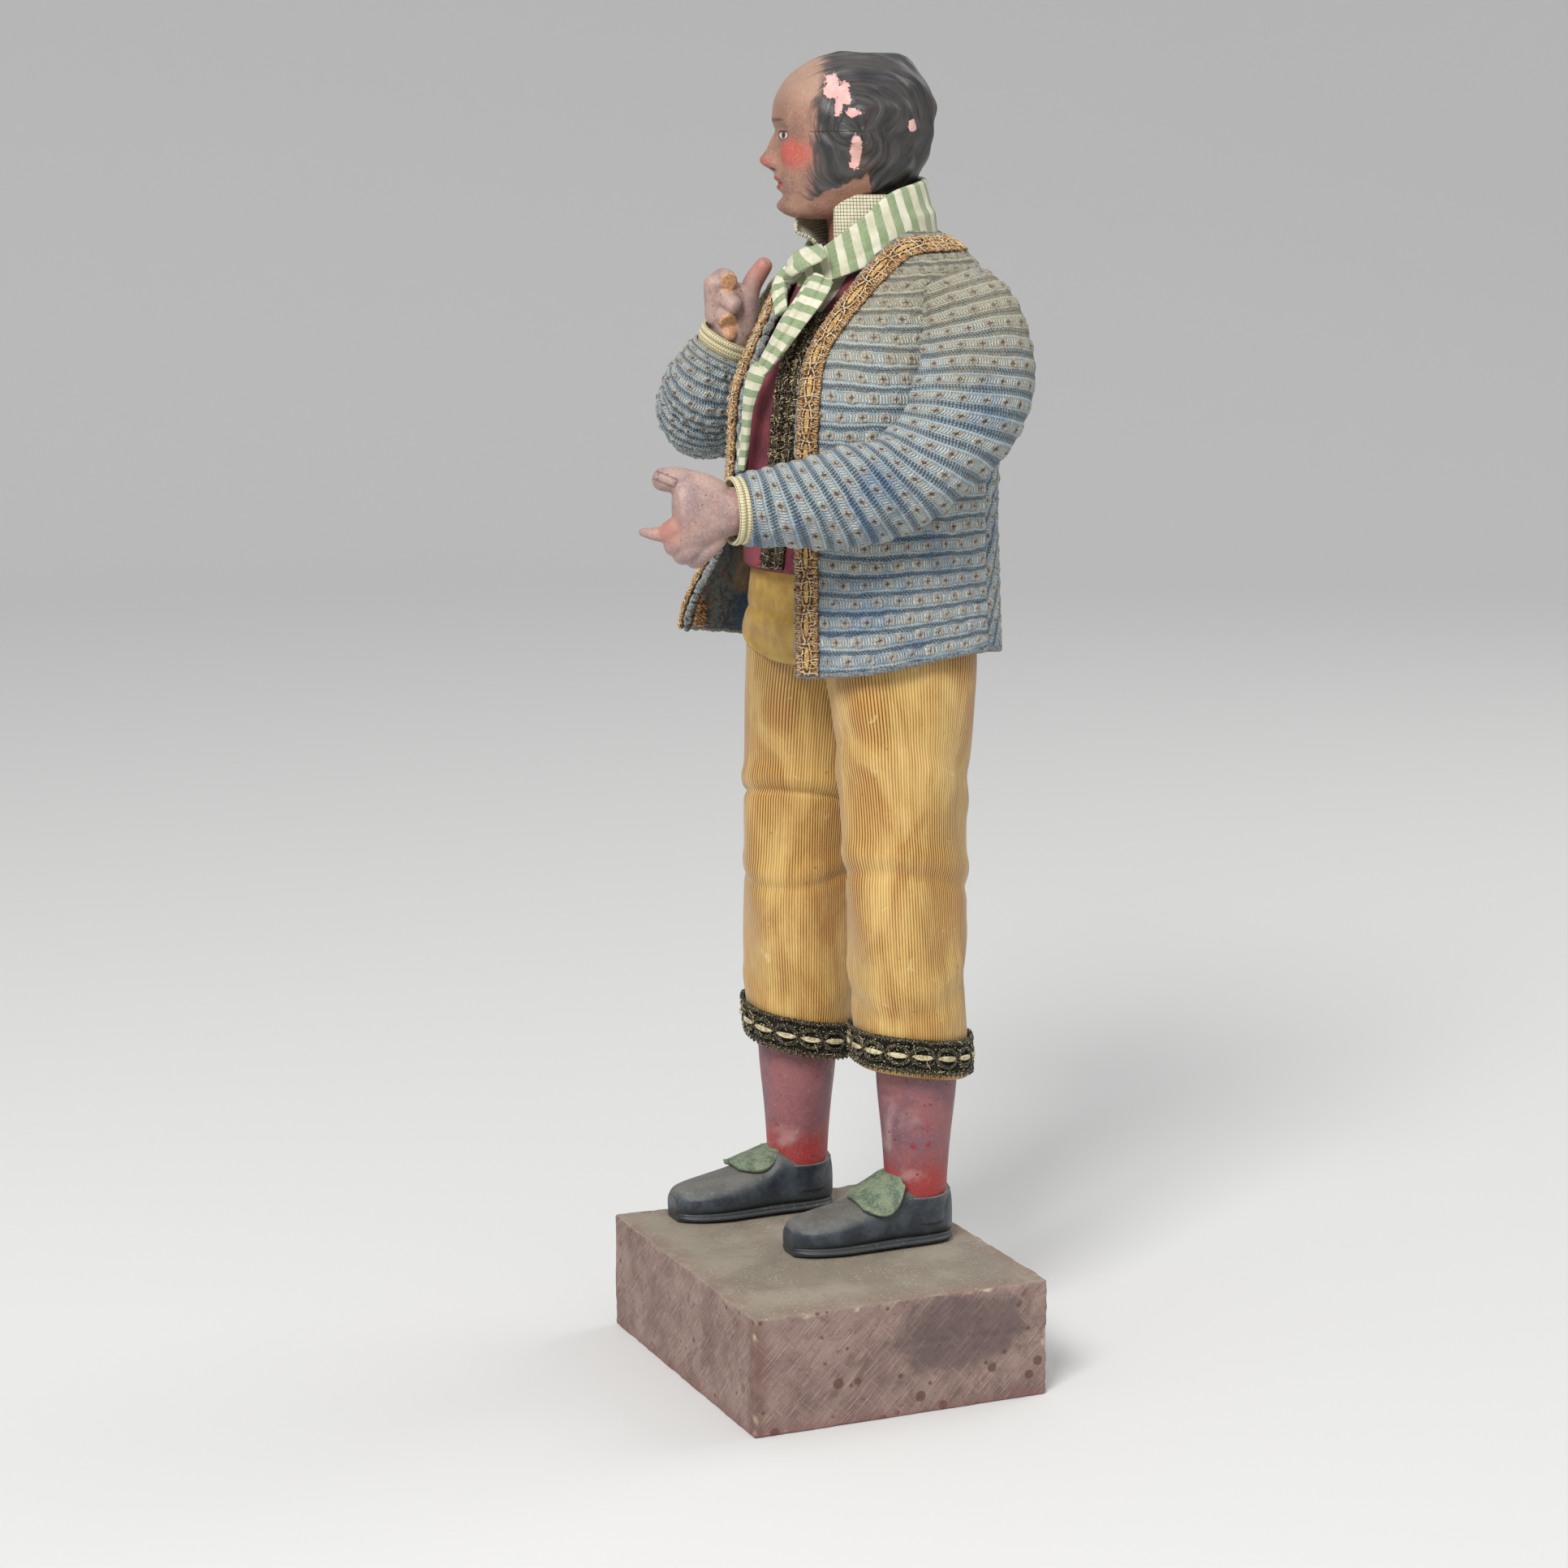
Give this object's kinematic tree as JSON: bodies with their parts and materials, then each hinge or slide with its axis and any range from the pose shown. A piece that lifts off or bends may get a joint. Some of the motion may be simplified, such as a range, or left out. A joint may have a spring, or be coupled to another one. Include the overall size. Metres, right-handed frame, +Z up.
{
  "type": "presepe figure",
  "caption": "Dressed standing figure of a Nativity scene: terracotta head, hands and legs, real cloth clothes with braid, on a painted wooden block.",
  "frame": {"origin": "centre of the block's underside", "axes": "+Z up, the block's front faces -Y, the figure's left is +X"},
  "size_m": [0.1576, 0.1241, 0.3873],
  "materials": {
    "painted_wood": "matt worn paint, dusty on top",
    "silk": "ribbed silk with a soft sheen",
    "crimson_cloth": "matt plain cloth",
    "linen": "matt plain weave",
    "dark_braid": "tarnished metal thread lace",
    "knit_cloth": "matt patterned weave, faded",
    "gold_braid": "metal thread lace",
    "striped_cloth": "matt striped cotton",
    "painted_clay": "painted terracotta, half matt",
    "painted_clay_dark": "painted terracotta, half matt"
  },
  "bodies": {
    "root": {"base_block": "painted_wood", "breeches": "silk", "waistcoat": "crimson_cloth", "shirt": "linen", "waistcoat_braid_left": "dark_braid", "waistcoat_braid_right": "dark_braid", "jacket": "knit_cloth", "jacket_braid": "gold_braid", "neckerchief": "striped_cloth", "head": "painted_clay", "leg_left": "painted_clay_dark", "leg_right": "painted_clay_dark", "knee_braid_left": "dark_braid", "knee_braid_right": "dark_braid", "jacket_sleeve_left": "knit_cloth", "jacket_sleeve_right": "knit_cloth", "shirt_cuff_left": "linen", "shirt_cuff_right": "linen", "hand_left": "painted_clay", "hand_right": "painted_clay"}
  },
  "joints": []
}
